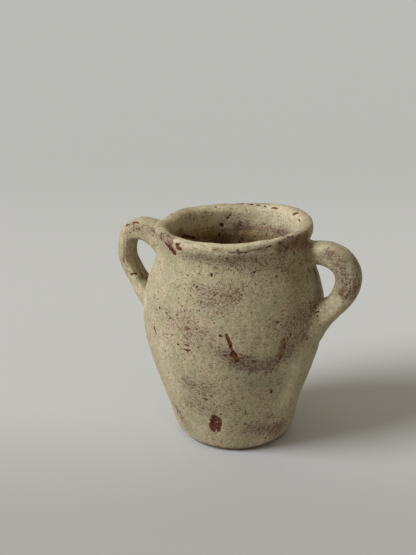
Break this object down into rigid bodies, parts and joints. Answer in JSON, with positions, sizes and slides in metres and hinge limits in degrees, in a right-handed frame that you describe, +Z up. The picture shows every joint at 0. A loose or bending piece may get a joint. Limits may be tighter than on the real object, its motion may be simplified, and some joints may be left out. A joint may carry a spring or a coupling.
{
  "type": "two-handled pot",
  "caption": "Hand-built earthenware pot with a full shoulder, a small flared lip, a flat base and a strap handle on each side.",
  "frame": {"origin": "on the flat underside, below the middle of the pot measured with its handles", "axes": "+Z up out of the mouth, +X along the line of the two handles towards the right one, +Y to the back"},
  "size_m": [0.1952, 0.1388, 0.1716],
  "materials": {
    "base_clay": "matt limewashed terracotta, worn at the heel, bare on the underside",
    "wall_slip": "matt cream limewash over terracotta, pitted, with rust-red chips and mauve worn patches",
    "rim_slip": "matt cream limewash over terracotta, chipped to red clay along the edge",
    "handle_slip": "matt cream limewash over terracotta, rubbed thin by hands",
    "luting_slip": "matt cream limewash over smeared soft clay"
  },
  "bodies": {
    "root": {"base_slab": "base_clay", "lower_wall": "wall_slip", "shoulder_wall": "wall_slip", "rim_coil": "rim_slip", "right_handle": "handle_slip", "right_upper_luting": "luting_slip", "right_lower_luting": "luting_slip", "left_handle": "handle_slip", "left_upper_luting": "luting_slip", "left_lower_luting": "luting_slip"}
  },
  "joints": []
}
